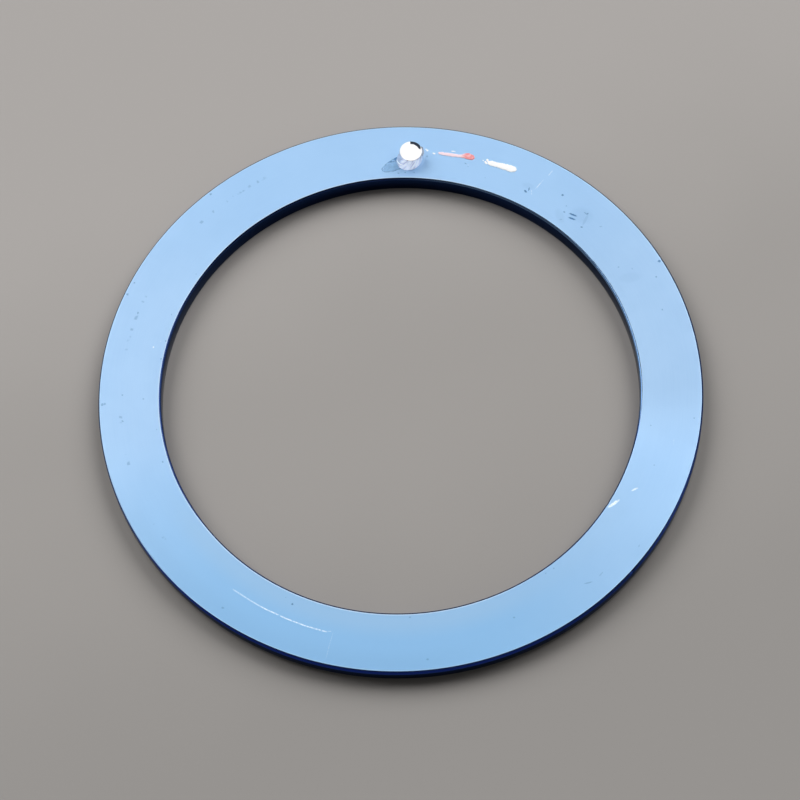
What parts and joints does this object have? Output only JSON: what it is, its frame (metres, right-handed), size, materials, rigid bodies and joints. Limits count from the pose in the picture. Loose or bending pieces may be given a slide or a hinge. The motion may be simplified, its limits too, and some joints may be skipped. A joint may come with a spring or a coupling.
{
  "type": "watch bezel insert",
  "caption": "Flat ring insert for a rotating watch bezel: blue anodised aluminium, flat back, sloping engraved front, with a luminous pip set through it.",
  "frame": {"origin": "centre of the ring, on the surface that its front inner rim rests on as it lies face down", "axes": "+Z along the ring's axis out of its flat back; +Y from the centre towards the luminous pip at twelve o'clock; +X towards three o'clock as seen from the back of the ring, which is nine o'clock on the front"},
  "size_m": [0.038, 0.038, 0.0022],
  "materials": {
    "anodised_blue": "satin blue anodised",
    "pip_steel": "polished",
    "lume": "matt luminous compound",
    "lens": "clear polished",
    "adhesive": "clear cured adhesive",
    "scale_paint": "matt filler paint"
  },
  "bodies": {
    "root": {"insert_ring": "anodised_blue", "pip_cup": "pip_steel", "pip_lume": "lume", "pip_lens": "lens", "pip_adhesive": "adhesive", "scale_triangle": "scale_paint", "scale_bars": "scale_paint", "scale_ticks": "scale_paint"}
  },
  "joints": []
}
